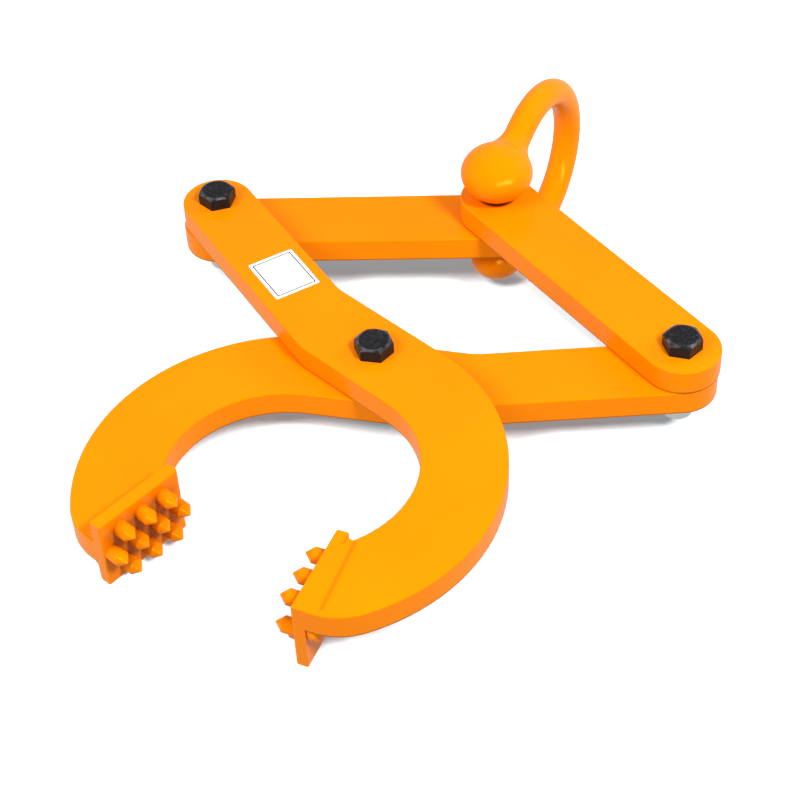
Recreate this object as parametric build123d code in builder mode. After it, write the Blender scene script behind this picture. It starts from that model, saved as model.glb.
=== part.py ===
from build123d import *
import os
from math import acos, atan2, cos, degrees, radians, sin, sqrt, tan

os.makedirs("parts", exist_ok=True)

# A scissor pallet puller. Millimetres, +Z up, +Y the way it is pulled, +X to the right seen from the jaws.
# The origin lies under the middle of the footprint, level with the underside of the shackle's bow.

# Plates
plate_thickness = 19.0
layer_gap = 0.3  # running gap between the upper and the lower layer of plates
plate_edge_round = 1.0

# Linkage: tong arms and links have one length, so the four pivots stay the corners of a rhombus
arm_length = 208.0
arm_angle = 63.0  # from the pull axis to a side pivot, at rest
arm_width = 52.0
link_width = 54.0

# Tongs, described in the upper tong's plane round the centre pivot
waist_width = 60.0
waist_slope = 16.2
waist_drop = 1.0  # the waist's centre line runs this far in front of the centre pivot
elbow_distance = 53.0
elbow_round = 40.0
hook_inner_start = 42.0  # along the waist, from the centre pivot to where the inner arc begins
hook_outer_start = 36.0
hook_tip_width = 21.0  # from a pad's back to where the outer arc would cross the hook's end
hook_tip_round = 45.0
hook_throat_setback = 9.0  # from a pad's inner end to where the inner arc meets its back

# Jaw pads, each welded on at its own angle: right on the upper tong, left on the lower one
right_half_gap = 60.6  # from the pull axis to the middle of a pad's face
left_half_gap = 67.2
right_toe_angle = 5.0  # a pad opens towards its tip by this angle
left_toe_angle = 14.0
jaw_reach = 186.6  # from the centre pivot to the middle of a pad's face, along the pull axis
pad_length = 67.0
pad_height = 54.0
pad_thickness = 8.5
pad_corner_round = 1.5

# Teeth, in staggered rows of three, four and three
tooth_diameter = 11.0
tooth_body = 9.0
tooth_point = 5.5
tooth_tip_diameter = 1.2
tooth_shank_diameter = 8.0
tooth_shank_depth = 6.5
tooth_pitch = 18.0
tooth_row_pitch = 15.5
tooth_fit = 0.02

# Welds between the hooks and the pads
weld_leg = 10.0
weld_throat_leg = 6.5
weld_face_radius = 13.0
weld_end_margin = 1.5

# Pivot bolts, washers and lock nuts
bolt_diameter = 16.0
bolt_head_width = 24.0
bolt_head_height = 10.0
bolt_end_length = 2.5  # how far a bolt shows past its nut
bolt_end_chamfer = 1.5
pivot_fit = 0.08  # radial clearance of the bolts and of the shackle's pin in the plates
thread_fit = 0.05
washer_diameter = 30.0
washer_thickness = 3.0
washer_gap = 0.3
nut_height = 12.5
nut_collar_height = 4.0
nut_collar_diameter = 22.0
nut_collar_wall = 1.4
insert_height = 3.2
hex_chamfer = 30.0  # slope of the turned end of heads and nuts
hex_rim = 0.86  # the turned end's flat, as a share of the width across flats
left_head_turn = 44.0
centre_head_turn = 17.5
right_head_turn = 13.0

# Shackle
bar_diameter = 21.2
bow_radius = 58.6  # centre line of the bow
bow_offset = 67.0  # from the pin to the centre of the bow
leg_rise = 12.35  # from an eye's inner side to the start of its leg at the pin
ball_diameter = 53.0
ball_height = 41.0
eye_diameter = 41.0
eye_height = 35.0
eye_gap = 1.0  # between an eye and the plate next to it
leg_blend = 26.0
pin_diameter = 20.0
pin_fit = 0.02
pin_blind_depth = 24.0
pin_chamfer = 1.0
pin_recess = 0.5  # the pin's lower end sits this far inside the lower eye
socket_width = 10.0
socket_depth = 9.0

# Places that follow from the sizes
pin_reach = 2 * arm_length * cos(radians(arm_angle))
bow_back = pin_reach + bow_offset + bow_radius + bar_diameter / 2
jaw_front = jaw_reach + pad_length / 2 * cos(radians(min(right_toe_angle, left_toe_angle)))
pivot_y = (jaw_front - bow_back) / 2
middle = bow_radius + bar_diameter / 2
upper_base = middle + layer_gap / 2
plate_top = upper_base + plate_thickness
lower_base = middle - layer_gap / 2 - plate_thickness
upper_layer = Plane((0, pivot_y, upper_base))
lower_layer = Plane((0, pivot_y, lower_base))

left_pivot = Vector(0, arm_length).rotate(Axis.Z, arm_angle)
right_pivot = Vector(0, arm_length).rotate(Axis.Z, -arm_angle)
centre_pivot = Vector(0, 0)
shackle_pivot = Vector(0, pin_reach)

bolt_places = (
    ("left", left_pivot, left_head_turn),
    ("centre", centre_pivot, centre_head_turn),
    ("right", right_pivot, right_head_turn),
)
bolt_hole = bolt_diameter / 2 + pivot_fit
pin_hole = pin_diameter / 2 + pivot_fit

# Directions and corners of the tong's outline
waist_along = Vector(1, 0).rotate(Axis.Z, -waist_slope)
waist_across = waist_along.rotate(Axis.Z, 90)
waist_middle = Vector(0, -waist_drop)
elbow = waist_middle - waist_along * elbow_distance
arm_along = (elbow - left_pivot).normalized()
arm_across = arm_along.rotate(Axis.Z, 90)
hook_back = waist_middle + waist_along * hook_outer_start + waist_across * (waist_width / 2)
hook_front = waist_middle + waist_along * hook_inner_start - waist_across * (waist_width / 2)


def crossing(normal_a, reach_a, normal_b, reach_b):
    """The point that lies reach_a along normal_a and reach_b along normal_b."""
    spread = normal_a.X * normal_b.Y - normal_a.Y * normal_b.X
    x = (reach_a * normal_b.Y - reach_b * normal_a.Y) / spread
    y = (normal_a.X * reach_b - normal_b.X * reach_a) / spread
    return Vector(x, y)


elbow_reach = arm_across.dot(elbow)
waist_reach = waist_across.dot(waist_middle)
elbow_back = crossing(arm_across, elbow_reach + arm_width / 2, waist_across, waist_reach + waist_width / 2)
elbow_front = crossing(arm_across, elbow_reach - arm_width / 2, waist_across, waist_reach - waist_width / 2)
rear_back = left_pivot + arm_across * (arm_width / 2)
rear_front = left_pivot - arm_across * (arm_width / 2)
elbow_turn = acos(arm_along.dot(waist_along))
elbow_tangent = elbow_round * tan(elbow_turn / 2)


# Both jaws are drawn as on a right-hand hook, round the centre pivot. The left one is mirrored into place.
def pad_back(half_gap, toe_angle):
    """Plane at the middle of a pad's back: local x runs to the pad's tip, local y away from the pad."""
    toe = radians(toe_angle)
    away = Vector(cos(toe), sin(toe))
    middle_of_back = Vector(half_gap, -jaw_reach) + away * pad_thickness
    return Plane(middle_of_back, x_dir=(sin(toe), -cos(toe)), z_dir=(0, 0, 1))


def hook_throat(jaw):
    """The point where a hook's inner arc meets the back of its pad."""
    return jaw.origin + jaw.x_dir * (hook_throat_setback - pad_length / 2)


def hook_arc(start, end):
    """Centre and radius of the arc that leaves the waist at start and runs through end."""
    chord = end - start
    radius = chord.dot(chord) / chord.dot(waist_across) / -2
    return start - waist_across * radius, radius


def tip_rounding(jaw, pad_tip):
    """The points where a hook's rounded tip leaves the outer arc and runs into the hook's end."""
    tip_corner = pad_tip + jaw.y_dir * hook_tip_width
    outer_centre, outer_radius = hook_arc(hook_back, tip_corner)
    depth = (tip_corner - outer_centre).dot(jaw.x_dir)
    width = (tip_corner - outer_centre).dot(jaw.y_dir)
    shift = sqrt(width**2 - 2 * hook_tip_round * (outer_radius - depth))
    run = jaw.x_dir * (depth - hook_tip_round) + jaw.y_dir * shift
    leaves = outer_centre + run.normalized() * outer_radius
    arrives = outer_centre + run + jaw.x_dir * hook_tip_round
    return leaves, arrives


def plate_rims(plate, jaw):
    """Top and bottom outline edges of a tong's plate, without those at the welded pad."""
    rims = []
    for face in (plate.faces().sort_by(Axis.Z)[0], plate.faces().sort_by(Axis.Z)[-1]):
        for edge in face.outer_wire().edges():
            beside_pad = abs((edge.center() - jaw.origin).dot(jaw.y_dir)) < 0.1
            if not beside_pad:
                rims.append(edge)
    return rims


def tong_plate(jaw):
    """A tong with its hook on the right, cut to the back of its pad."""
    pad_tip = jaw.origin + jaw.x_dir * (pad_length / 2)
    throat = hook_throat(jaw)
    tip_leaves, tip_arrives = tip_rounding(jaw, pad_tip)
    with BuildPart() as plate:
        with BuildSketch():
            with BuildLine():
                TangentArc(rear_front, rear_back, tangent=arm_along * -1)
                Line(rear_back, elbow_back - arm_along * elbow_tangent)
                TangentArc(
                    elbow_back - arm_along * elbow_tangent,
                    elbow_back + waist_along * elbow_tangent,
                    tangent=arm_along,
                )
                Line(elbow_back + waist_along * elbow_tangent, hook_back)
                TangentArc(hook_back, tip_leaves, tangent=waist_along)
                TangentArc(tip_arrives, tip_leaves, tangent=jaw.y_dir)
                Polyline(tip_arrives, pad_tip, throat)
                TangentArc(hook_front, throat, tangent=waist_along)
                Line(hook_front, elbow_front + waist_along * elbow_tangent)
                TangentArc(
                    elbow_front - arm_along * elbow_tangent,
                    elbow_front + waist_along * elbow_tangent,
                    tangent=arm_along,
                )
                Line(elbow_front - arm_along * elbow_tangent, rear_front)
            make_face()
            with Locations(centre_pivot, left_pivot):
                Circle(bolt_hole, mode=Mode.SUBTRACT)
        extrude(amount=plate_thickness)
        fillet(plate_rims(plate.part, jaw), plate_edge_round)
    return plate.part


def in_place(piece, base=0, mirrored=False):
    """A piece drawn round the centre pivot, lifted to its base, and mirrored for the left jaw."""
    with BuildPart() as placed:
        with Locations((0, pivot_y, base)):
            if mirrored:
                add(mirror(piece, about=Plane.YZ, mode=Mode.PRIVATE))
            else:
                add(piece)
    return placed.part


# A link, from its side pivot along +X
with BuildPart() as link_plate:
    with BuildSketch():
        with Locations((arm_length / 2, 0)):
            SlotCenterToCenter(arm_length, link_width)
        Circle(bolt_hole, mode=Mode.SUBTRACT)
        with Locations((arm_length, 0)):
            Circle(pin_hole, mode=Mode.SUBTRACT)
    extrude(amount=plate_thickness)
    outlines = [link_plate.faces().sort_by(Axis.Z)[end].outer_wire().edges() for end in (0, -1)]
    fillet(outlines[0] + outlines[1], plate_edge_round)


def link(layer, pivot):
    """The link from a side pivot to the shackle's pin."""
    run = shackle_pivot - pivot
    turned = Location((pivot.X, pivot.Y), degrees(atan2(run.Y, run.X)))
    with BuildPart() as placed:
        with Locations(layer.location * turned):
            add(link_plate.part)
    return placed.part


tooth_spots = []
for row, count in ((1, 3), (0, 4), (-1, 3)):
    for place in range(count):
        tooth_spots.append((tooth_pitch * (place - (count - 1) / 2), tooth_row_pitch * row))


def pad_face(jaw):
    """Plane on a pad's face at its middle: local x runs to the pad's tip, local z out of the face."""
    face_middle = jaw.origin - jaw.y_dir * pad_thickness + Vector(0, 0, plate_top - pad_height / 2)
    return Plane(face_middle, x_dir=jaw.x_dir, z_dir=jaw.y_dir * -1)


def jaw_pad(jaw):
    """A flat bar with drilled holes for its teeth. The edges of its face and of its foot are rounded."""
    backwards = Axis(jaw.origin, jaw.y_dir)
    with BuildPart() as pad:
        with BuildSketch(jaw.offset(plate_top)):
            Rectangle(pad_length, pad_thickness, align=(Align.CENTER, Align.MAX))
        extrude(amount=-pad_height)
        face_edges = pad.faces().sort_by(backwards)[0].edges()
        foot_edges = pad.faces().sort_by(Axis.Z)[0].edges()
        fillet(face_edges + foot_edges.sort_by(backwards)[-1:], pad_corner_round)
        with BuildSketch(pad_face(jaw)):
            with Locations(*tooth_spots):
                Circle(tooth_shank_diameter / 2 + tooth_fit)
        extrude(amount=-tooth_shank_depth - tooth_fit, mode=Mode.SUBTRACT)
    return pad.part


with BuildPart() as tooth:
    with BuildSketch(Plane.XZ):
        with BuildLine():
            Polyline(
                (0, -tooth_shank_depth),
                (tooth_shank_diameter / 2, -tooth_shank_depth),
                (tooth_shank_diameter / 2, 0),
                (tooth_diameter / 2, 0),
                (tooth_diameter / 2, tooth_body),
                (tooth_tip_diameter / 2, tooth_body + tooth_point),
                (0, tooth_body + tooth_point),
                close=True,
            )
        make_face()
    revolve(axis=Axis.Z)


def jaw_teeth(jaw):
    """All teeth of one jaw."""
    with BuildPart() as teeth:
        with Locations(*[pad_face(jaw).location * Location(spot) for spot in tooth_spots]):
            add(tooth.part)
    return teeth.part


def jaw_weld(jaw, carrier_base, ramps):
    """Beads behind one pad: along its plate on each side named in ramps, and upright in the hook's throat."""
    first = hook_throat_setback - pad_length / 2 + weld_end_margin
    last = pad_length / 2 - weld_end_margin
    bead_section = Plane(jaw.origin + jaw.x_dir * first, x_dir=jaw.y_dir, z_dir=jaw.x_dir)
    throat = hook_throat(jaw)
    throat_end = throat - jaw.x_dir * weld_throat_leg
    inner_centre, inner_radius = hook_arc(hook_front, throat)
    bead_turn = degrees(weld_throat_leg / inner_radius)
    throat_rim = []
    for share in (0, 0.5, 1):
        throat_rim.append(inner_centre + (throat - inner_centre).rotate(Axis.Z, bead_turn * share))
    with BuildPart() as beads:
        for ramp in ramps:
            corner = carrier_base + (plate_thickness if ramp > 0 else 0)
            with BuildSketch(bead_section):
                with BuildLine():
                    Polyline((0, corner + ramp * weld_leg), (0, corner), (weld_leg, corner))
                    RadiusArc((weld_leg, corner), (0, corner + ramp * weld_leg), ramp * weld_face_radius)
                make_face()
            extrude(amount=last - first)
        with BuildSketch(Plane((0, 0, carrier_base + plate_edge_round))):
            with BuildLine():
                ThreePointArc(*[(point.X, point.Y) for point in throat_rim])
                Polyline([(point.X, point.Y) for point in (throat_rim[-1], throat_end, throat)])
            make_face()
        extrude(amount=plate_thickness - 2 * plate_edge_round)
    return beads.part


def turned_hex(plane, width, height):
    """A hexagon whose far end is turned to a chamfer, standing on a plane."""
    rim = hex_rim * width / 2
    outside = width * 2 / 3
    with BuildPart() as hexagon:
        with BuildSketch(plane):
            RegularPolygon(width / 2, 6, major_radius=False)
        extrude(amount=height)
        with BuildSketch(Plane(plane.origin, x_dir=plane.x_dir, z_dir=plane.y_dir * -1)):
            with BuildLine():
                Polyline(
                    (0, 0),
                    (outside, 0),
                    (outside, height - (outside - rim) * tan(radians(hex_chamfer))),
                    (rim, height),
                    (0, height),
                    close=True,
                )
            make_face()
        revolve(axis=Axis(plane.origin, plane.z_dir), mode=Mode.INTERSECT)
    return hexagon.part


nut_stack = washer_gap + washer_thickness + nut_height + nut_collar_height
bolt_run = plate_top - lower_base + nut_stack + bolt_end_length


def bolt(pivot, turn):
    """A hex bolt with its head on the upper plate."""
    head = Plane((pivot.X, pivot_y + pivot.Y, plate_top)).rotated((0, 0, turn))
    with BuildPart() as hex_bolt:
        add(turned_hex(head, bolt_head_width, bolt_head_height))
        with BuildSketch(head):
            Circle(bolt_diameter / 2)
        extrude(amount=-bolt_run)
        chamfer(hex_bolt.faces().sort_by(Axis.Z)[0].edges(), bolt_end_chamfer)
    return hex_bolt.part


def washer(pivot):
    """A flat washer under the lower plate."""
    with BuildPart() as ring:
        with BuildSketch(Plane((pivot.X, pivot_y + pivot.Y, lower_base - washer_gap))):
            Circle(washer_diameter / 2)
            Circle(bolt_hole, mode=Mode.SUBTRACT)
        extrude(amount=-washer_thickness)
    return ring.part


def nut_seat(pivot, turn):
    """Plane under a washer, facing down."""
    seat = lower_base - washer_gap - washer_thickness
    return Plane((pivot.X, pivot_y + pivot.Y, seat), z_dir=(0, 0, -1)).rotated((0, 0, turn))


def nut(pivot, turn):
    """A lock nut: a hexagon and a thin collar round the insert."""
    seat = nut_seat(pivot, turn)
    with BuildPart() as lock_nut:
        add(turned_hex(seat, bolt_head_width, nut_height))
        with BuildSketch(seat.offset(nut_height)):
            Circle(nut_collar_diameter / 2)
            Circle(nut_collar_diameter / 2 - nut_collar_wall, mode=Mode.SUBTRACT)
        extrude(amount=nut_collar_height)
        with BuildSketch(seat):
            Circle(bolt_diameter / 2 + thread_fit)
        extrude(amount=nut_height, mode=Mode.SUBTRACT)
    return lock_nut.part


def nut_insert(pivot):
    """The ring inside a lock nut's collar."""
    with BuildPart() as ring:
        with BuildSketch(nut_seat(pivot, 0).offset(nut_height)):
            Circle(nut_collar_diameter / 2 - nut_collar_wall)
            Circle(bolt_diameter / 2 + thread_fit, mode=Mode.SUBTRACT)
        extrude(amount=insert_height)
    return ring.part


# Shackle: local x along the pull from the pin, local y up from the plates' middle plane
shackle_plane = Plane((0, pivot_y + pin_reach, middle), x_dir=(0, 1, 0), z_dir=(1, 0, 0))
pin_axis = Axis((0, pivot_y + pin_reach, 0), (0, 0, 1))
eye_side = plate_thickness + layer_gap / 2 + eye_gap
ball_middle = eye_side + ball_height / 2
eye_middle = eye_side + eye_height / 2
bow_middle = Vector(bow_offset, 0)
leg_start = Vector(0, eye_side + leg_rise)
tangent_turn = degrees(acos(bow_radius / (leg_start - bow_middle).length))
leg_end = bow_middle + (leg_start - bow_middle).normalized().rotate(Axis.Z, -tangent_turn) * bow_radius
crown = bow_middle + Vector(bow_radius, 0)
pin_drop = eye_middle + eye_height / 2 * sqrt(1 - (pin_diameter / eye_diameter) ** 2) - pin_recess
pin_rise = eye_side + pin_blind_depth

with BuildPart() as shackle_bow:
    with BuildLine(shackle_plane) as bow_line:
        Line((leg_start.X, leg_start.Y), (leg_end.X, leg_end.Y))
        ThreePointArc((leg_end.X, leg_end.Y), (crown.X, crown.Y), (leg_end.X, -leg_end.Y))
        Line((leg_end.X, -leg_end.Y), (leg_start.X, -leg_start.Y))
    with BuildSketch(Plane(bow_line.line @ 0, z_dir=bow_line.line % 0)):
        Circle(bar_diameter / 2)
    sweep(path=bow_line.line)
    with BuildSketch(shackle_plane):
        with Locations((0, ball_middle)):
            Ellipse(ball_diameter / 2, ball_height / 2)
        with Locations((0, -eye_middle)):
            Ellipse(eye_diameter / 2, eye_height / 2)
        clip_height = 2 * (ball_middle + ball_height)
        Rectangle(ball_diameter, clip_height, align=(Align.MAX, Align.CENTER), mode=Mode.INTERSECT)
    revolve(axis=pin_axis)
    fillet(shackle_bow.edges().filter_by(GeomType.BSPLINE), leg_blend)
    with BuildSketch(Plane((0, pivot_y + pin_reach, 0))):
        Circle(pin_diameter / 2 + pin_fit)
    extrude(amount=middle + pin_rise + pin_fit, mode=Mode.SUBTRACT)

with BuildPart() as shackle_pin:
    with BuildSketch(Plane((0, pivot_y + pin_reach, middle - pin_drop))):
        Circle(pin_diameter / 2)
    extrude(amount=pin_drop + pin_rise)
    chamfer(shackle_pin.edges().filter_by(GeomType.CIRCLE), pin_chamfer)
    with BuildSketch(Plane((0, pivot_y + pin_reach, middle - pin_drop))):
        RegularPolygon(socket_width / 2, 6, major_radius=False)
    extrude(amount=socket_depth, mode=Mode.SUBTRACT)

right_jaw = pad_back(right_half_gap, right_toe_angle)
left_jaw = pad_back(left_half_gap, left_toe_angle)

pieces = {
    "upper_tong": in_place(tong_plate(right_jaw), upper_base),
    "lower_tong": in_place(tong_plate(left_jaw), lower_base, mirrored=True),
    "upper_link": link(upper_layer, right_pivot),
    "lower_link": link(lower_layer, left_pivot),
    "upper_jaw_pad": in_place(jaw_pad(right_jaw)),
    "lower_jaw_pad": in_place(jaw_pad(left_jaw), mirrored=True),
    "upper_jaw_teeth": in_place(jaw_teeth(right_jaw)),
    "lower_jaw_teeth": in_place(jaw_teeth(left_jaw), mirrored=True),
    "upper_jaw_weld": in_place(jaw_weld(right_jaw, upper_base, (-1,))),
    "lower_jaw_weld": in_place(jaw_weld(left_jaw, lower_base, (-1, 1)), mirrored=True),
    "shackle_bow": shackle_bow.part,
    "shackle_pin": shackle_pin.part,
}
for side, pivot, head_turn in bolt_places:
    pieces[side + "_bolt"] = bolt(pivot, head_turn)
    pieces[side + "_washer"] = washer(pivot)
    pieces[side + "_nut"] = nut(pivot, head_turn)
    pieces[side + "_nut_insert"] = nut_insert(pivot)

for name, piece in pieces.items():
    piece.label = name
    export_step(piece, f"parts/{name}.step")
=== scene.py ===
# %% [markdown]
# # A scissor pallet puller
# Two crossed steel tongs hang on two links and a bow shackle. A hook pulls
# the shackle, the links draw the tongs' arms together, and the toothed jaws
# close on the beam of a pallet. The CAD model holds every solid at its real
# size. This script loads it as a fixed frame, gives each piece its finish,
# and adds the thin things that the solids leave out.

# %% Load the frame
from math import asin, atan2, cos, degrees, hypot, radians

import bpy
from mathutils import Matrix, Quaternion, Vector


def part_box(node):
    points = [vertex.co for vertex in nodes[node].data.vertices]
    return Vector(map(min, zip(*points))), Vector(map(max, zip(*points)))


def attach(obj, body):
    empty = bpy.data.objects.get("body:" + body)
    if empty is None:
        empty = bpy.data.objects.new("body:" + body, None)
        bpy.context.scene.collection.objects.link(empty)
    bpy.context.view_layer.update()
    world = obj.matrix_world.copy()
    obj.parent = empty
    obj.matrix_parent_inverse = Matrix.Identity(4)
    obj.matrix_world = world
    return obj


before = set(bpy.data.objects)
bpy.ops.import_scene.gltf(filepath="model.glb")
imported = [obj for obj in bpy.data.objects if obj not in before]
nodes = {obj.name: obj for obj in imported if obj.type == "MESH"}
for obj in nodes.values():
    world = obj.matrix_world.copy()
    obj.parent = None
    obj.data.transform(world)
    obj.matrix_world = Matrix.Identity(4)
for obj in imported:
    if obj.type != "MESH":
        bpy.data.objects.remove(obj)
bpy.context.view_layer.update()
bolt_low, bolt_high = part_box("centre_bolt")
pivot = (bolt_low + bolt_high) / 2


def in_mm(metres):
    return round(metres * 1000, 2)


print("centre pivot at", [in_mm(number) for number in pivot], "mm")

# %% [markdown]
# ## The camera
# The tool was photographed from in front of the jaws, to their right, and
# from well above. A long lens keeps the plates' edges nearly parallel. The
# place and the lens were worked out from the pivots and the plates' edges;
# the small roll is there because the tool does not lie level.

# %% Camera
camera_place = Vector((0.4879, -0.8551, 0.9450))
camera_aim = Vector((0.0388, -0.0877, 0.0884))
camera_roll = radians(-3.0)
camera_lens, sensor_width = 84.2, 36.0


def turn_along(direction):
    return Vector(direction).to_track_quat("-Z", "Y")


bpy.ops.object.camera_add(location=camera_place)
camera = bpy.context.object
camera.name = "photo_camera"
level = turn_along(camera_aim - camera_place)
camera.rotation_euler = (level @ Quaternion((0, 0, 1), camera_roll)).to_euler()
camera.data.lens = camera_lens
camera.data.sensor_width = sensor_width
bpy.context.scene.camera = camera
print("camera", round((camera_aim - camera_place).length, 3), "m from its aim")

# %% [markdown]
# ## The floor
# The tool rests on the near ends of its jaw pads and on the underside of the
# bow, so the plates lie a few degrees off level. The solids keep the plates
# square to Z, and the floor takes the slope instead: a plane through the
# pads' tips that just touches the round bow.

# %% Floor
floor_size = 14
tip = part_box("upper_jaw_pad")[0]
bow_low, bow_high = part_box("shackle_bow")
bow_radius = (bow_high.z - bow_low.z) / 2
bow_run = bow_high.y - bow_radius - tip.y
bow_rise = bow_low.z + bow_radius - tip.z
slope = atan2(bow_rise, bow_run) - asin(bow_radius / hypot(bow_run, bow_rise))

bpy.ops.object.select_all(action="DESELECT")
bpy.ops.mesh.primitive_plane_add(
    size=floor_size, location=(0, tip.y, tip.z), rotation=(slope, 0, 0)
)
floor = bpy.context.object
floor.name = "studio_floor"
floor.visible_diffuse = False
floor.visible_glossy = False
print("floor slopes", round(degrees(slope), 2), "degrees along the pull")

# %% [markdown]
# ## Helpers for shader trees
# Every finish here, and the glow of the room, is a small shader tree. Short
# helpers keep the trees readable. The first sets or links the inputs of a
# node. The others add a place in Object coordinates, the way a face points,
# the parts of a vector, one step of arithmetic, a product of masks, and a
# value mapped to another range. The CAD nodes and the new pieces all sit at
# the origin, so Object coordinates are metres in the shared frame.


# %% Steps of a shader tree
def feed(tree, node, values):
    for name, value in values.items():
        if isinstance(value, bpy.types.NodeSocket):
            tree.links.new(value, node.inputs[name])
        else:
            node.inputs[name].default_value = value


def object_place(tree):
    return tree.nodes.new("ShaderNodeTexCoord").outputs["Object"]


def face_direction(tree):
    return tree.nodes.new("ShaderNodeNewGeometry").outputs["Normal"]


def add_split(tree, vector):
    split = tree.nodes.new("ShaderNodeSeparateXYZ")
    feed(tree, split, {"Vector": vector})
    return split.outputs


def add_step(tree, kind, operation, *values):
    step = tree.nodes.new(kind)
    step.operation = operation
    feed(tree, step, dict(enumerate(values)))
    return step.outputs


def add_math(tree, operation, *values):
    return add_step(tree, "ShaderNodeMath", operation, *values)["Value"]


def add_product(tree, *masks):
    product = masks[0]
    for mask in masks[1:]:
        product = add_math(tree, "MULTIPLY", product, mask)
    return product


def add_range(tree, value, low, high, new_low, new_high):
    fitted = tree.nodes.new("ShaderNodeMapRange")
    feed(tree, fitted, {"Value": value, "From Min": low, "From Max": high})
    feed(tree, fitted, {"To Min": new_low, "To Max": new_high})
    return fitted.outputs["Result"]


print("helpers for steps ready")

# %% [markdown]
# ## Helpers for materials
# A material starts with its shader. Noise gives the unevenness of real
# surfaces, a blend mixes two colours by a mask, a layer puts one more colour
# over a finished one, and a bump lets a height show in the shading.


# %% Materials, noise, colours and bumps
def start_material(name):
    material = bpy.data.materials.new(name)
    material.use_nodes = True
    return material, material.node_tree, material.node_tree.nodes["Principled BSDF"]


def add_noise(tree, scale, detail=3.0, stretch=(1, 1, 1)):
    fitted = tree.nodes.new("ShaderNodeMapping")
    feed(tree, fitted, {"Vector": object_place(tree), "Scale": stretch})
    noise = tree.nodes.new("ShaderNodeTexNoise")
    feed(tree, noise, {"Vector": fitted.outputs["Vector"]})
    feed(tree, noise, {"Scale": scale, "Detail": detail})
    return noise.outputs["Fac"]


def add_blend(tree, mask, first, second):
    blend = tree.nodes.new("ShaderNodeMix")
    blend.data_type = "RGBA"
    feed(tree, blend, {"Factor": mask, "A": first, "B": second})
    return blend.outputs["Result"]


def add_layer(tree, shader, mask, colour):
    under = shader.inputs["Base Color"].links[0].from_socket
    feed(tree, shader, {"Base Color": add_blend(tree, mask, under, colour)})


def add_bump(tree, shader, height, strength, distance):
    bump = tree.nodes.new("ShaderNodeBump")
    feed(tree, bump, {"Height": height, "Strength": strength, "Distance": distance})
    feed(tree, shader, {"Normal": bump.outputs["Normal"]})


print("helpers for materials ready")

# %% [markdown]
# ## The room
# A white floor would throw pale light back at the orange edges, more than
# the picture shows. So the floor is left out of the bounce, and the world
# glows from below in its place, a little more than it does from above.

# %% World
horizon_blur = 0.1
glow_below, glow_above = 0.60, 0.42

scene = bpy.context.scene
scene.view_settings.view_transform = "Standard"
world = bpy.data.worlds.new("white_room")
scene.world = world
world.use_nodes = True
room = world.node_tree
direction = room.nodes.new("ShaderNodeTexCoord").outputs["Generated"]
height = add_split(room, direction)["Z"]
glow = add_range(room, height, -horizon_blur, horizon_blur, glow_below, glow_above)
white = (1.0, 1.0, 1.0, 1)
feed(room, room.nodes["Background"], {"Color": white, "Strength": glow})
print("world glows", glow_below, "from below and", glow_above, "from above")

# %% [markdown]
# ## The light on the tool
# The picture is bright, with one main light on the tool: the bolts and the
# ball throw their shadows to the left. So a small panel stands high on the
# right. A broader one stands in front, on the left. It gives the soft shade
# on the lower plates just behind the edges of the upper ones. A weak panel
# further left keeps the edges that face away from going brown, and another
# behind on the right does the same for the bow.
#
# The ball shines in one short streak at its lower right, and so does the far
# leg of the bow. Both point back to a long low light on the right. It would
# bleach the flat plates, so the strip that stands for it only shines, and
# only on the round pieces, and the panels only light.


# %% Panels over the tool
def panel(name, place, aim, size, power):
    bpy.ops.object.light_add(type="AREA", location=place)
    light = bpy.context.object
    light.name = name
    light.rotation_euler = turn_along(Vector(aim) - Vector(place)).to_euler()
    light.data.shape = "RECTANGLE"
    light.data.size, light.data.size_y = size
    light.data.energy = power
    return light


tool_middle, bow_foot, bow_middle = (0, 0, 0.06), (0, 0.15, 0.08), (0, 0.12, 0.12)
tool_lights = (
    panel("key_panel", (1.03, -0.37, 1.36), tool_middle, (0.3, 0.3), 25),
    panel("front_panel", (-0.6, -1.1, 1.25), tool_middle, (0.7, 0.7), 17),
    panel("left_panel", (-1.3, -1.0, 0.6), tool_middle, (1.2, 0.8), 6),
    panel("back_panel", (0.75, 0.80, 0.70), bow_foot, (0.5, 0.5), 5),
)
for light in tool_lights:
    light.visible_glossy = False
shine_strip = panel("shine_strip", (1.00, -0.63, 0.52), bow_middle, (1.2, 0.35), 26)
shine_strip.visible_diffuse = False
shine_strip.visible_camera = False
print("lights on the tool", [light.name for light in (*tool_lights, shine_strip)])

# %% [markdown]
# ## The light on the floor
# On the floor only narrow strips of shadow show, under the near edges. Two
# lamps light the floor alone, from the right and the left of the camera, so
# that only the places hidden from both are dark. Light linking keeps the two
# sets of lights apart, and the strip on its round pieces.

# %% Lamps over the floor, and what each light reaches
lamp_power, lamp_angle = 6.5, radians(14)
round_pieces = ("shackle_bow", "upper_jaw_teeth", "lower_jaw_teeth")


def lamp(name, aim):
    bpy.ops.object.light_add(type="SUN")
    light = bpy.context.object
    light.name = name
    light.rotation_euler = turn_along(aim).to_euler()
    light.data.energy = lamp_power
    light.data.angle = lamp_angle
    return light


def link_light(light, state, *pieces):
    receivers = bpy.data.collections.new(light.name + "_receivers")
    light.light_linking.receiver_collection = receivers
    for piece in pieces:
        receivers.objects.link(piece)
    for receiver in receivers.collection_objects:
        receiver.light_linking.link_state = state


floor_lights = (
    lamp("right_floor_lamp", (-0.572, 0.262, -0.777)),
    lamp("left_floor_lamp", (0.051, 0.627, -0.777)),
)
for light in floor_lights:
    link_light(light, "INCLUDE", floor)
for light in tool_lights:
    link_light(light, "EXCLUDE", floor)
link_light(shine_strip, "INCLUDE", *(nodes[name] for name in round_pieces))
print("lights on the floor", [light.name for light in floor_lights])

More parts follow.
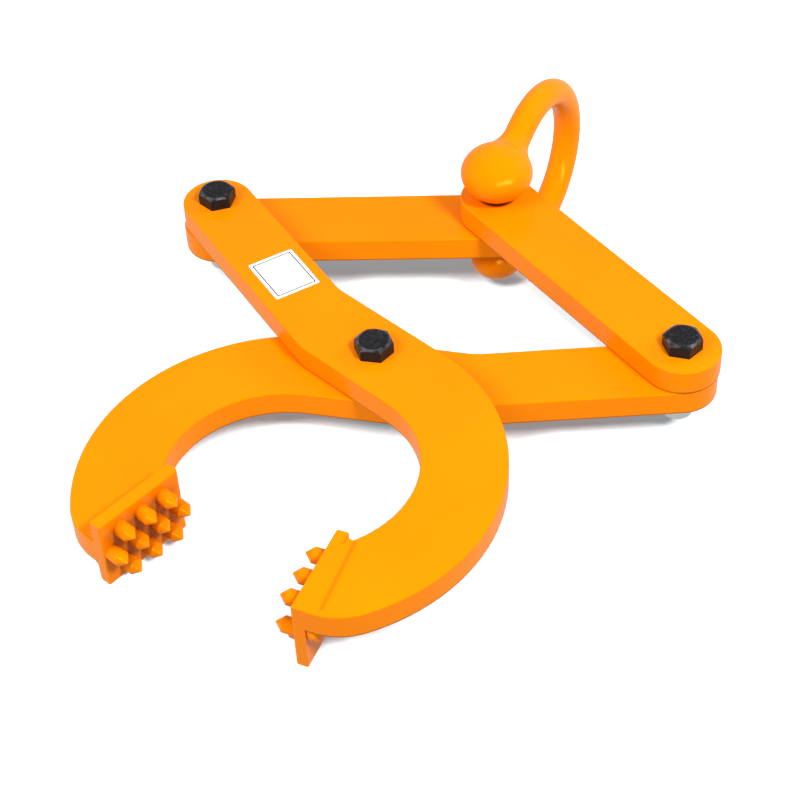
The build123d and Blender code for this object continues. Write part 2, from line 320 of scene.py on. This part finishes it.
# %% [markdown]
# ## A sprayed skin
# Sprayed enamel is never mirror flat. It dries with a fine orange-peel
# ripple, and its thickness drifts a little from place to place, which shifts
# both colour and gloss. Blackened bolts, plating, nylon and the coated label
# have the same kind of skin at other sizes, so it is one node group with
# named inputs and outputs.

# %% Skin group
skin_inputs = {"Drift Scale": 14.0, "Peel Scale": 700.0, "Peel Share": 0.5}
drift_detail, peel_detail = 4.0, 1.5

skin = bpy.data.node_groups.new("sprayed_skin", "ShaderNodeTree")
for name, value in skin_inputs.items():
    socket = skin.interface.new_socket(
        name, in_out="INPUT", socket_type="NodeSocketFloat"
    )
    socket.default_value = value
for name in ("Drift", "Gloss", "Height"):
    skin.interface.new_socket(name, in_out="OUTPUT", socket_type="NodeSocketFloat")
group_in = skin.nodes.new("NodeGroupInput").outputs
group_out = skin.nodes.new("NodeGroupOutput")

drift = add_noise(skin, group_in["Drift Scale"], drift_detail)
peel = add_noise(skin, group_in["Peel Scale"], peel_detail)
height = skin.nodes.new("ShaderNodeMix")
feed(skin, height, {"Factor": group_in["Peel Share"], "A": drift, "B": peel})
gloss = add_math(skin, "MULTIPLY", drift, peel)
feed(skin, group_out, {"Drift": drift, "Gloss": gloss})
feed(skin, group_out, {"Height": height.outputs["Result"]})
print("skin group with", len(skin.nodes), "nodes")

# %% [markdown]
# ## Coats
# A coat is a material whose colour follows the drift of the skin and whose
# roughness follows its gloss. Its sheen is given as the roughness of the
# dullest and of the glossiest places.

# %% Coat helpers
gloss_span = (0.1, 0.4)


def add_skin(tree, drift_scale, peel_scale, peel_share):
    use = tree.nodes.new("ShaderNodeGroup")
    use.node_tree = skin
    feed(tree, use, {"Drift Scale": drift_scale})
    feed(tree, use, {"Peel Scale": peel_scale, "Peel Share": peel_share})
    return use.outputs


def start_coat(name, skin_sizes, colours, sheen, drift_span=(0, 1)):
    material, tree, shader = start_material(name)
    coat = add_skin(tree, *skin_sizes)
    tone = add_range(tree, coat["Drift"], *drift_span, 0, 1)
    colour = add_blend(tree, tone, *colours)
    roughness = add_range(tree, coat["Gloss"], *gloss_span, *sheen)
    feed(tree, shader, {"Base Color": colour, "Roughness": roughness})
    return material, tree, shader, coat


print("helpers for coats ready")

# %% [markdown]
# ## Orange enamel
# All the plates, the pads, their teeth and the bow were sprayed together.
# The flat plates were cut by flame, and the cut leaves fine upright drag
# lines on their edges, which show faintly through the paint. So the plates
# get the enamel with drag lines, which fade out where a face turns level.

# %% Enamel
enamel_colours = ((0.92, 0.224, 0.0003, 1), (0.96, 0.242, 0.0004, 1))
enamel_shine = {"Specular Tint": (1.0, 0.75, 0.06, 1), "Specular IOR Level": 0.22}
plate_sheen, forged_sheen, jaw_sheen = (0.32, 0.20), (0.24, 0.13), (0.16, 0.08)


def start_enamel(name, sheen):
    material, tree, shader, coat = start_coat(
        name,
        skin_sizes=(16.0, 900.0, 0.35),
        colours=enamel_colours,
        sheen=sheen,
        drift_span=(0.3, 0.7),
    )
    feed(tree, shader, enamel_shine)
    return material, tree, shader, coat


print("enamel between", *enamel_colours)

# %% Enamel on cut plates
drag_stretch = (420, 420, 18)
upright, leaning = 0.05, 0.6
drag_strength, drag_depth = 0.25, 0.0004

cut_plate, tree, shader, coat = start_enamel("enamel_on_cut_plate", plate_sheen)
drag = add_noise(tree, scale=1.0, detail=2.0, stretch=drag_stretch)
levelness = add_math(tree, "ABSOLUTE", add_split(tree, face_direction(tree))["Z"])
on_edge = add_range(tree, levelness, upright, leaning, 1, 0)
drag_height = add_math(tree, "MULTIPLY_ADD", drag, on_edge, coat["Height"])
add_bump(tree, shader, drag_height, drag_strength, drag_depth)
print("enamel for cut plates:", len(tree.nodes), "nodes")

# %% [markdown]
# ## Painted shade round the shackle's pin
# Little light gets under the ball, between the links and the shackle's eyes,
# so a thin dark line shows there. It is painted shade on the plates: the mask
# is a ring round the pin's axis.

# %% Painted shade round the pin, on the links
pin_shade_full, pin_shade_none = 0.0125, 0.0150
pin_shade_colour = (0.15, 0.032, 0.002, 1)
vector_step = "ShaderNodeVectorMath"

pin_low, pin_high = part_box("shackle_pin")
pin_middle = (pin_low + pin_high) / 2
place = object_place(tree)
from_pin = add_step(tree, vector_step, "SUBTRACT", place, pin_middle)["Vector"]
sideways = add_step(tree, vector_step, "MULTIPLY", from_pin, (1, 1, 0))["Vector"]
reach = add_step(tree, vector_step, "LENGTH", sideways)["Value"]
pin_shade_ring = add_range(tree, reach, pin_shade_full, pin_shade_none, 1, 0)
# painted shade: a dark ring on the plates under the ball
add_layer(tree, shader, pin_shade_ring, pin_shade_colour)
print("painted shade round", [in_mm(number) for number in pin_middle], "mm")

# %% [markdown]
# ## Painted shade along the lower arrises
# Little light gets into the narrow gap between the crossing plates, so a thin
# line of painted shade runs along the lower edge of every side face. Both layers
# are equally thick, so the height above the lowest face, taken again and again
# by the spacing of the layers, tells how far a point is above its own plate's
# lower face.

# %% Painted shade on the plates' lower edges
edge_shade_full, edge_shade_none = 0.0005, 0.0020
edge_shade_share, edge_shade_colour = 0.95, (0.070, 0.015, 0.001, 1)

layer_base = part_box("lower_tong")[0].z
layer_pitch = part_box("upper_tong")[0].z - layer_base
above_base = add_math(tree, "SUBTRACT", add_split(tree, place)["Z"], layer_base)
in_layer = add_math(tree, "FLOORED_MODULO", above_base, layer_pitch)
near_base = add_range(tree, in_layer, edge_shade_full, edge_shade_none, edge_shade_share, 0)
# painted shade: darker along the lower edge of each side face
add_layer(tree, shader, add_product(tree, near_base, on_edge), edge_shade_colour)
print("layers", in_mm(layer_pitch), "mm apart from", in_mm(layer_base), "mm up")

# %% [markdown]
# ## Enamel on the shackle
# The bow was forged and its pin turned, so they have no drag lines. The same
# enamel lies a little glossier on them, over a slow hammered ripple.

# %% Enamel on forged pieces
ripple_strength, ripple_depth = 0.3, 0.0006

forged, tree, shader, coat = start_enamel("enamel_on_forging", forged_sheen)
add_bump(tree, shader, coat["Height"], ripple_strength, ripple_depth)
print("enamel for forgings:", len(tree.nodes), "nodes")

# %% [markdown]
# ## Painted shade between the teeth
# Little light gets in between the teeth, so the shade there is painted, broken into
# patches.
# Each pad stands at an angle of its own, so a Mapping node turns the Object
# coordinates into the pad's own: X out of its toothed face, Y along it, Z up
# it. The mask is full in the middle of that face, fades towards its edges,
# and fades along the teeth towards their points.

# %% Enamel on the jaws
pad_thickness = 0.0085
pad_face = pad_thickness / 2
teeth_shade_colour, teeth_shade_scale = (0.30, 0.055, 0.001, 1), 130.0
teeth_shade_patches = (0.3, 0.6, 0.45, 0.75)
teeth_shade_start = (pad_face - 0.0008, pad_face - 0.0004)
teeth_shade_end = (pad_face + 0.0020, pad_face + 0.0130)
teeth_shade_fades = {"Y": (0.022, 0.034), "Z": (0.013, 0.026)}


def start_jaw_enamel(name, pad, facing):
    material, tree, shader, coat = start_enamel(name, jaw_sheen)
    pad_low, pad_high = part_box(pad)
    on_pad = tree.nodes.new("ShaderNodeMapping")
    on_pad.vector_type = "TEXTURE"
    feed(tree, on_pad, {"Vector": object_place(tree)})
    feed(tree, on_pad, {"Location": (pad_low + pad_high) / 2})
    feed(tree, on_pad, {"Rotation": (0, 0, radians(facing))})
    split = add_split(tree, on_pad.outputs["Vector"])
    masks = [
        add_range(tree, add_noise(tree, teeth_shade_scale), *teeth_shade_patches),
        add_range(tree, split["X"], *teeth_shade_start, 0, 1),
        add_range(tree, split["X"], *teeth_shade_end, 1, 0),
    ]
    for axis, fade in teeth_shade_fades.items():
        from_middle = add_math(tree, "ABSOLUTE", split[axis])
        masks.append(add_range(tree, from_middle, *fade, 1, 0))
    # painted shade between the teeth and along them towards their points
    add_layer(tree, shader, add_product(tree, *masks), teeth_shade_colour)
    add_bump(tree, shader, coat["Height"], ripple_strength, ripple_depth)
    print(name, "has", len(tree.nodes), "nodes")
    return material


upper_jaw_coat = start_jaw_enamel("enamel_on_upper_jaw", "upper_jaw_pad", facing=185)
lower_jaw_coat = start_jaw_enamel("enamel_on_lower_jaw", "lower_jaw_pad", facing=-14)

# %% [markdown]
# ## Enamel over weld beads
# A weld is laid in small overlapping pools, and the paint keeps their
# ripples. The beads run along the pads, so a band pattern along each bead
# makes the ripples, bent a little by noise as a hand would.

# %% Weld enamel
pool_sizes = {"Scale": 95.0, "Distortion": 4.5, "Detail": 1.0, "Detail Scale": 0.6}
pool_strength, pool_depth = 0.35, 0.0006

weld_coat, tree, shader, _ = start_enamel("enamel_on_weld", plate_sheen)
pools = tree.nodes.new("ShaderNodeTexWave")
pools.bands_direction = "Y"
feed(tree, pools, {"Vector": object_place(tree), **pool_sizes})
add_bump(tree, shader, pools.outputs["Fac"], pool_strength, pool_depth)
print("enamel for welds:", len(tree.nodes), "nodes")

# %% [markdown]
# ## Black bolts
# The bolts are blackened steel, a thin dark oxide with an oily sheen. The
# forged heads are slightly rough. Fine pale specks on their tops are painted
# glints. The chamfer round each head is painted brighter in soft patches,
# partly wear from spanners and partly painted glints.

# %% Blackened steel
chamfer_lean, lean_margin = cos(radians(30)), 0.05
top_lean = (0.5, 0.8)
bolt_shine = {"Specular IOR Level": 0.14}
rubbed_glint_scale, rubbed_glint_patches = 190.0, (0.35, 0.75, 0, 1)
rubbed_glint_colour = (0.11, 0.11, 0.12, 1)
glint_speck_scale, glint_speck_patches = 900.0, (0.55, 0.75, 0, 0.5)
glint_speck_colour = (0.08, 0.08, 0.09, 1)

black_bolt, tree, shader, coat = start_coat(
    "blackened_bolt",
    skin_sizes=(160.0, 600.0, 0.6),
    colours=((0.005, 0.005, 0.006, 1), (0.016, 0.016, 0.018, 1)),
    sheen=(0.36, 0.18),
)
feed(tree, shader, bolt_shine)
lean = add_split(tree, face_direction(tree))["Z"]
on_chamfer = add_math(tree, "COMPARE", lean, chamfer_lean, lean_margin)
rubbed_glint = add_range(tree, add_noise(tree, rubbed_glint_scale, detail=1.0), *rubbed_glint_patches)
# brighter chamfer patches: partly spanner wear, partly painted glints
add_layer(tree, shader, add_product(tree, on_chamfer, rubbed_glint), rubbed_glint_colour)
on_top = add_range(tree, lean, *top_lean, 0, 1)
glint_specks = add_range(tree, add_noise(tree, glint_speck_scale, detail=1.0), *glint_speck_patches)
# pale specks on the tops: painted glints
add_layer(tree, shader, add_product(tree, on_top, glint_specks), glint_speck_colour)
print("blackened steel:", len(tree.nodes), "nodes")

# %% [markdown]
# ## Threads
# Only the last turns of each thread show, below its nut. They are rings in
# the bump: so near the end of a bolt a true helix would look the same.

# %% Threads of the bolts
thread_pitch, thread_height = 0.002, 1.5
threaded_below, plain_above = 0.030, 0.031
thread_strength, thread_depth = 0.5, 0.0005

along_bolt = add_split(tree, object_place(tree))["Z"]
turn = add_math(tree, "PINGPONG", along_bolt, thread_pitch / 2)
crest = add_range(tree, turn, 0, thread_pitch / 2, 0, thread_height)
below = add_range(tree, along_bolt, threaded_below, plain_above, 1, 0)
thread = add_math(tree, "MULTIPLY_ADD", crest, below, coat["Height"])
add_bump(tree, shader, thread, thread_strength, thread_depth)
print("threads up to", in_mm(threaded_below), "mm")

# %% [markdown]
# ## Plated nuts and washers, nylon rings
# The lock nuts and washers are bright zinc with a faint warm and cool drift,
# and fine turning marks. The ring that locks each thread is dull nylon.

# %% Zinc and nylon
mark_strength, mark_depth = 0.2, 0.0003

zinc, tree, shader, coat = start_coat(
    "bright_zinc",
    skin_sizes=(90.0, 1200.0, 0.6),
    colours=((0.76, 0.78, 0.81, 1), (0.90, 0.89, 0.86, 1)),
    sheen=(0.42, 0.24),
)
feed(tree, shader, {"Metallic": 1.0})
add_bump(tree, shader, coat["Height"], mark_strength, mark_depth)

nylon, tree, shader, coat = start_coat(
    "dull_nylon",
    skin_sizes=(200.0, 900.0, 0.5),
    colours=((0.70, 0.70, 0.64, 1), (0.84, 0.83, 0.78, 1)),
    sheen=(0.7, 0.5),
)
add_bump(tree, shader, coat["Height"], mark_strength, mark_depth)
print("zinc and nylon ready")

# %% [markdown]
# ## Dressing the solids
# Each node keeps the shape that it has in the CAD model and only gets its
# finish. A pad and its teeth share one coat, because the painted shade
# between the teeth is placed by that pad.

# %% Dress the nodes
sides = ("left", "centre", "right")
finishes = {
    cut_plate: ("upper_tong", "lower_tong", "upper_link", "lower_link"),
    forged: ("shackle_bow", "shackle_pin"),
    upper_jaw_coat: ("upper_jaw_pad", "upper_jaw_teeth"),
    lower_jaw_coat: ("lower_jaw_pad", "lower_jaw_teeth"),
    weld_coat: ("upper_jaw_weld", "lower_jaw_weld"),
    black_bolt: [f"{side}_bolt" for side in sides],
    zinc: [f"{side}_{part}" for side in sides for part in ("washer", "nut")],
    nylon: [f"{side}_nut_insert" for side in sides],
}
for finish, names in finishes.items():
    for name in names:
        nodes[name].data.materials.clear()
        nodes[name].data.materials.append(finish)
print("dressed", sum(len(names) for names in finishes.values()), "nodes")

# %% [markdown]
# ## The label
# A small white label with a thin printed frame sits on the upper tong's arm.
# It is left blank. A plane is sized, two insets give the margin and the
# printed line, the outer corners are rounded, and a thin wall makes it a
# real sticker.

# %% Label finishes
vinyl_strength, vinyl_depth = 0.1, 0.0002
ink_colours = ((0.03, 0.03, 0.06, 1), (0.09, 0.09, 0.13, 1))
ink_scale, ink_roughness = 900.0, 0.5

vinyl, tree, shader, coat = start_coat(
    "white_vinyl",
    skin_sizes=(60.0, 2000.0, 0.5),
    colours=((0.90, 0.90, 0.90, 1), (0.97, 0.97, 0.965, 1)),
    sheen=(0.5, 0.35),
)
add_bump(tree, shader, coat["Height"], vinyl_strength, vinyl_depth)

ink, tree, shader = start_material("printed_line")
ink_colour = add_blend(tree, add_noise(tree, ink_scale), *ink_colours)
feed(tree, shader, {"Base Color": ink_colour, "Roughness": ink_roughness})
print("label finishes:", vinyl.name, "and", ink.name)

# %% Label
label_length, label_width = 0.0440, 0.0350
label_margin, label_line = 0.0023, 0.0009
label_corner, corner_segments = 0.0012, 4
hair = 1e-5


def select_points(piece, wanted):
    bpy.ops.mesh.select_all(action="DESELECT")
    bpy.ops.object.mode_set(mode="OBJECT")
    for vertex in piece.data.vertices:
        vertex.select = wanted(vertex.co)
    bpy.ops.object.mode_set(mode="EDIT")


bpy.ops.object.select_all(action="DESELECT")
bpy.ops.mesh.primitive_plane_add(size=1)
label = bpy.context.object
label.name = "blank_label"
bpy.ops.object.mode_set(mode="EDIT")
bpy.ops.transform.resize(value=(label_length, label_width, 1))
bpy.ops.mesh.inset(thickness=label_margin)
bpy.ops.mesh.inset(thickness=label_line)
select_points(label, lambda point: abs(point.x) > label_length / 2 - hair)
bpy.ops.mesh.bevel(affect="VERTICES", offset=label_corner, segments=corner_segments)
bpy.ops.object.mode_set(mode="OBJECT")
print("label outline has", len(label.data.vertices), "points")

# %% Printed frame, thickness and place of the label
label_thickness, label_turn = 0.0002, radians(-30.9)
widest_line = label_line * 1.5
label_across, label_along = -0.0968, 0.0424
label_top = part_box("upper_tong")[1].z


def put_in_place(piece, across, along, height, turn=0):
    piece.location = (pivot.x + across, pivot.y + along, height)
    piece.rotation_euler = (0, 0, turn)
    bpy.ops.object.transform_apply()


label.data.materials.append(vinyl)
label.data.materials.append(ink)
line_reach = label_length / 2 - label_margin
for face in label.data.polygons:
    reaches = [abs(label.data.vertices[i].co.x) for i in face.vertices]
    inner, outer = min(reaches), max(reaches)
    is_line = abs(outer - line_reach) < hair and outer - inner < widest_line
    face.material_index = 1 if is_line else 0
wall = label.modifiers.new("wall", "SOLIDIFY")
wall.thickness = label_thickness
wall.offset = 1
bpy.ops.object.modifier_apply(modifier="wall")
put_in_place(label, label_across, label_along, label_top, label_turn)
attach(label, "upper_tong_body")
printed = sum(face.material_index for face in label.data.polygons)
print("label with", printed, "printed faces")

# %% [markdown]
# ## The seam on the right jaw
# The right pad stands level with its plate, and the weld between them was
# dressed nearly flush before painting. It shows as one faint line, well
# behind the pad. A narrow grid is laid along the line, and its middle row is
# lifted with a smooth falloff, so the low ridge has no edges of its own.
# Along the ridge the enamel is painted darker, as painted shade for the line.

# %% Seam finish
seam_shade_colour, seam_shade_share, seam_shade_reach = (0.66, 0.135, 0.0004, 1), 0.7, 0.40

seam_coat, tree, shader, coat = start_enamel("enamel_in_seam", plate_sheen)
across = tree.nodes.new("ShaderNodeTexCoord").outputs["UV"]
from_middle = add_math(tree, "SUBTRACT", add_split(tree, across)["Y"], 0.5)
either_side = add_math(tree, "ABSOLUTE", from_middle)
seam_shade_fold = add_range(tree, either_side, 0, seam_shade_reach, seam_shade_share, 0)
# painted shade: darker along the middle of the seam
add_layer(tree, shader, seam_shade_fold, seam_shade_colour)
add_bump(tree, shader, coat["Height"], ripple_strength, ripple_depth)
print("enamel in the seam:", len(tree.nodes), "nodes")

# %% Seam
seam_width, seam_height, seam_lift = 0.0060, 0.00040, 0.00002
seam_start, seam_end = Vector((0.0735, -0.1568)), Vector((0.0816, -0.2140))
seam_run = seam_end - seam_start
ridge_reach = seam_run.length / 2 - seam_width / 2


def on_ridge(point):
    return abs(point.y) < hair and abs(point.x) < ridge_reach


bpy.ops.object.select_all(action="DESELECT")
bpy.ops.mesh.primitive_grid_add(x_subdivisions=24, y_subdivisions=16, size=1)
seam = bpy.context.object
seam.name = "upper_jaw_seam"
bpy.ops.object.mode_set(mode="EDIT")
bpy.ops.transform.resize(value=(seam_run.length, seam_width, 1))
select_points(seam, on_ridge)
bpy.ops.transform.translate(
    value=(0, 0, seam_height),
    use_proportional_edit=True,
    proportional_edit_falloff="SMOOTH",
    proportional_size=seam_width / 2,
)
bpy.ops.object.mode_set(mode="OBJECT")
bpy.ops.object.shade_smooth()
ridge_height = max(vertex.co.z for vertex in seam.data.vertices)
print("seam stands", in_mm(ridge_height), "mm high")

# %% Place of the seam
seam_middle = (seam_start + seam_end) / 2
pad_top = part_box("upper_jaw_pad")[1].z

seam.data.materials.append(seam_coat)
seam_turn = atan2(seam_run.y, seam_run.x)
put_in_place(seam, seam_middle.x, seam_middle.y, pad_top + seam_lift, seam_turn)
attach(seam, "upper_tong_body")
print("seam", in_mm(seam_run.length), "mm long")

# %% [markdown]
# ## The end of the right jaw's weld
# The bead under the right hook was ended with a lump, where the welder held
# the arc a moment longer. A ball is pressed into an egg, a cloud texture
# makes it uneven, and most of it sits inside the pad and the plate.

# %% Weld end
lump_radii = (0.0085, 0.0105, 0.0090)
cloud_size, cloud_depth = 0.005, 0.0034
lump_across, lump_along, lump_drop = 0.0745, -0.2085, 0.0040
plate_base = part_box("upper_tong")[0].z

bpy.ops.object.select_all(action="DESELECT")
bpy.ops.mesh.primitive_uv_sphere_add(segments=40, ring_count=24, radius=1)
lump = bpy.context.object
lump.name = "upper_jaw_weld_end"
bpy.ops.object.mode_set(mode="EDIT")
bpy.ops.transform.resize(value=lump_radii)
bpy.ops.object.mode_set(mode="OBJECT")
clouds = bpy.data.textures.new("weld_pools", "CLOUDS")
clouds.noise_scale = cloud_size
uneven = lump.modifiers.new("uneven", "DISPLACE")
uneven.texture = clouds
uneven.strength = cloud_depth
bpy.ops.object.modifier_apply(modifier="uneven")
bpy.ops.object.shade_smooth()
lump.data.materials.append(weld_coat)
put_in_place(lump, lump_across, lump_along, plate_base - lump_drop)
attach(lump, "upper_tong_body")
print("weld end", [in_mm(size) for size in lump.dimensions], "mm")

# %% [markdown]
# ## The floor's finish
# A studio floor is plain, but a perfectly even white looks unreal in close
# views, so it has a very faint drift. The shadows in the picture are a cool
# grey although orange paint stands over them, so the floor has a little cool
# light of its own, as if lit from below.

# %% Floor finish
floor_scale, floor_colours = 3.0, ((0.49, 0.49, 0.49, 1), (0.51, 0.51, 0.51, 1))
floor_shine = {"Roughness": 0.8, "Specular IOR Level": 0.1}
floor_glow = {"Emission Color": (0.45, 0.85, 1.0, 1), "Emission Strength": 0.20}

pale, tree, shader = start_material("pale_floor")
floor_colour = add_blend(tree, add_noise(tree, floor_scale), *floor_colours)
feed(tree, shader, {"Base Color": floor_colour, **floor_shine, **floor_glow})
floor.data.materials.append(pale)
print("floor finish:", len(tree.nodes), "nodes")
